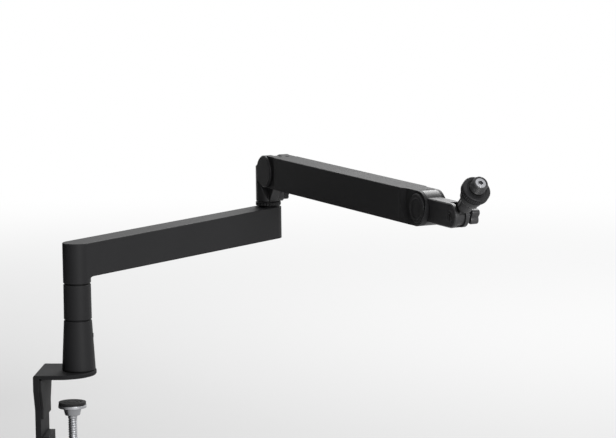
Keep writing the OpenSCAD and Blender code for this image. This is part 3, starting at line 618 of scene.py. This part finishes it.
# Heights are counted from the middle of the ring, where the joint is
FOOT_Z, SHOULDER_Z, TOP_Z = -0.0035, 0.0048, 0.0155
FOOT_R, NOSE_R, BORE_R, HEAD_R = 0.00715, 0.00794, 0.00478, 0.00601
NOSE_BEVEL, HEAD_DEPTH = 0.0007, 0.002
NOSE_THREAD_DEPTH, NOSE_PITCH = 0.0005, 25.4 / 27 / 1000
threaded_piece(
    "thread_collar_turned", collar_place, "thread_ring", "black_screw_steel",
    [(FOOT_Z, BORE_R), (FOOT_Z, FOOT_R), (SHOULDER_Z, FOOT_R), (SHOULDER_Z, NOSE_R - NOSE_BEVEL / 2),
     (SHOULDER_Z + NOSE_BEVEL / 2, NOSE_R), (TOP_Z - NOSE_BEVEL, NOSE_R), (TOP_Z, NOSE_R - NOSE_BEVEL),
     (TOP_Z, HEAD_R), (TOP_Z - HEAD_DEPTH, HEAD_R), (TOP_Z - HEAD_DEPTH, BORE_R)],
    (SHOULDER_Z, TOP_Z), NOSE_THREAD_DEPTH, NOSE_PITCH, ["thread_collar"], bored=True)

# %% [markdown]
# The spindle inside the collar is held by its head, which has a hexagon socket for a key. A
# hexagon is also a function of the angle: its distance from the axis is the half width over
# flats, divided by the cosine of the angle to the nearest flat's middle.


# %% Spindle
def socket_headed(name, place, body, section, flats_half, socket_floor, slot, replaced):
    """The outer section of (height, radius) corners carried round from the foot to the face, then a
    hexagon socket from the face down to its flat floor."""
    angle = full_turn()
    from_flat = np.mod(angle + np.pi / 6, np.pi / 3) - np.pi / 6
    hexagon = flats_half / np.cos(from_flat)
    outside = [np.full_like(angle, radius) for _, radius in section]
    reach = np.array(outside + [hexagon, hexagon, np.zeros_like(angle)])
    face = section[-1][0]
    height = np.array([z for z, _ in section] + [face, socket_floor, socket_floor])
    points = carried_round(reach, height[:, None], angle)
    grid_piece(name, [(points, place)], body, slot, replaced)


STEM_LOW_Z, STEM_R = -0.0230, 0.00471
BOLT_HEAD_LOW_Z, BOLT_HEAD_TOP_Z, BOLT_HEAD_R, BOLT_HEAD_BEVEL = 0.0135, 0.0151, 0.00596, 0.0004
KEY_HALF, KEY_FLOOR_Z = 0.0025, 0.0128
socket_headed(
    "head_spindle_turned", collar_place, "head",
    [(STEM_LOW_Z, 0.0), (STEM_LOW_Z, STEM_R), (BOLT_HEAD_LOW_Z, STEM_R), (BOLT_HEAD_LOW_Z, BOLT_HEAD_R),
     (BOLT_HEAD_TOP_Z - BOLT_HEAD_BEVEL, BOLT_HEAD_R), (BOLT_HEAD_TOP_Z, BOLT_HEAD_R - BOLT_HEAD_BEVEL)],
    KEY_HALF, KEY_FLOOR_Z, "bright_steel", ["head_spindle"])

# %% [markdown]
# ## Rings
# The ring at the end of the head and the collar under the elbow are moulded round an axis too.
# Fingers need something to hold, so both have shallow scallops, cut by the same rule as the
# knobs' lobes but between two heights only.

# %% Rings
RING_STEP, COLUMNS_PER_SCALLOP = 0.0004, 8


def scalloped_ring(name, place, body, section, scallops, depth, low, high, slot, replaced):
    """A closed half section of (height, radius) corners carried round. Between low and high, where
    the section is at its widest, the radius loses depth times a raised cosine of the angle."""
    rows = turned_rows(section, RING_STEP)
    height, radius = rows[:, :1], rows[:, 1:]
    angle = full_turn(scallops * COLUMNS_PER_SCALLOP)
    inside = np.clip(np.minimum(height - low, high - height) / RING_STEP, 0, 1)
    inside = inside * np.isclose(radius, radius.max())
    reach = radius - depth * inside * (0.5 - 0.5 * np.cos(scallops * angle[None, :]))
    points = carried_round(reach, height, angle)
    grid_piece(name, [(points, place)], body, slot, replaced, closed_rows=True)


# The ring has a lip, a groove, the grip, a second groove and a crown, one above the other. Shade in
# the grooves draws a dark line under and over the grip.
RING_R, RING_HALF, RING_BORE_R, RING_SEAT_R = 0.0148, 0.0045, 0.0053, 0.0072
GROOVE_R, GRIP_FOOT, GRIP_TOP, GRIP_BEVEL = 0.0128, -0.0024, 0.0020, 0.0003
LIP_TOP, GROOVE_FOOT, LIP_LOW_R, LIP_HIGH_R = -0.0041, -0.0038, 0.0136, 0.0140
CROWN_FOOT, CROWN_R, CROWN_BEVEL = 0.0030, 0.0147, 0.0008
DISH_RIM_R, DISH_R, DISH_DEPTH = 0.0105, 0.0098, 0.0005
scalloped_ring(
    "lock_ring_moulded", collar_place, "thread_ring",
    [(-RING_HALF, RING_BORE_R), (-RING_HALF, LIP_LOW_R), (LIP_TOP, LIP_HIGH_R),
     (GROOVE_FOOT, GROOVE_R), (GRIP_FOOT, GROOVE_R),
     (GRIP_FOOT, RING_R - GRIP_BEVEL), (GRIP_FOOT + GRIP_BEVEL, RING_R), (GRIP_TOP, RING_R),
     (GRIP_TOP, GROOVE_R), (CROWN_FOOT, GROOVE_R), (CROWN_FOOT, CROWN_R),
     (RING_HALF - CROWN_BEVEL, CROWN_R), (RING_HALF, CROWN_R - CROWN_BEVEL), (RING_HALF, DISH_RIM_R),
     (RING_HALF - DISH_DEPTH, DISH_R), (RING_HALF - DISH_DEPTH, RING_SEAT_R),
     (FOOT_Z, RING_SEAT_R), (FOOT_Z, RING_BORE_R)],
    scallops=40, depth=0.0005, low=GRIP_FOOT + GRIP_BEVEL, high=GRIP_TOP,
    slot="black_plastic", replaced=["lock_ring"])

# Heights of the elbow's collar are counted from the elbow's joint
elbow_place = frame_matrix(joint_named["elbow_swivel"]["pos_m"], (1, 0, 0), (0, 0, 1))
COLLAR_LOW, COLLAR_TOP, COLLAR_BORE_R, COLLAR_R, COLLAR_BEVEL = 0.0015, 0.0058, 0.01193, 0.0144, 0.0006
scalloped_ring(
    "elbow_collar_moulded", elbow_place, "elbow",
    [(COLLAR_LOW, COLLAR_BORE_R), (COLLAR_LOW, COLLAR_R - COLLAR_BEVEL),
     (COLLAR_LOW + COLLAR_BEVEL, COLLAR_R), (COLLAR_TOP - COLLAR_BEVEL, COLLAR_R),
     (COLLAR_TOP, COLLAR_R - COLLAR_BEVEL), (COLLAR_TOP, COLLAR_BORE_R)],
    scallops=24, depth=0.0007, low=COLLAR_LOW + COLLAR_BEVEL, high=COLLAR_TOP - COLLAR_BEVEL,
    slot="black_plastic", replaced=["elbow_collar"])

# %% [markdown]
# ## Discs
# A disc covers each end of the wrist's axle. It is a profile from its middle outwards, with a
# bevelled rim and a shallow round recess whose floor has fine turning marks.

# %% Discs at the wrist
wrist_joint = joint_named["wrist_tilt"]
across_beam = np.array(wrist_joint["axis"])
DISC_SEAT, DISC_H, DISC_R, RIM_BEVEL = 0.01055, 0.0038, 0.0154, 0.0009
RECESS_R, RECESS_DEPTH, TURNING_HEIGHT, TURNING_PITCH = 0.0104, 0.0005, 0.00003, 0.0008
SLOPE_R, SLOPE_DEPTH, LAND_R = 0.0109, 0.0003, 0.0113
RECESS_ROWS, DISC_COLUMNS = 40, 96


def disc_profile():
    """Rows of (height, radius) from the centre of the face: a recess whose floor has turning marks,
    a sine of the radius, then a flat land, a bevelled rim and the side."""
    radius = np.linspace(0, RECESS_R, RECESS_ROWS)
    marks = TURNING_HEIGHT * np.sin(2 * np.pi * radius / TURNING_PITCH)
    recess = np.column_stack([DISC_H - RECESS_DEPTH + marks, radius])
    rim = [(DISC_H - SLOPE_DEPTH, SLOPE_R), (DISC_H, LAND_R), (DISC_H, DISC_R - RIM_BEVEL),
           (DISC_H - RIM_BEVEL, DISC_R), (0.0, DISC_R), (0.0, 0.0)]
    return np.vstack([recess, rim])


def wrist_disc(side):
    """The profile carried round the wrist's axis, on the side that the sign of side says."""
    outward = across_beam * side
    place = frame_matrix(np.array(wrist_joint["pos_m"]) + outward * DISC_SEAT, (0, 0, 1), outward)
    profile = disc_profile()
    return carried_round(profile[:, 1:], profile[:, :1], full_turn(DISC_COLUMNS)), place


grid_piece("wrist_discs_turned", [wrist_disc(-1), wrist_disc(1)], "upper_arm", "black_plastic",
           ["end_discs"])
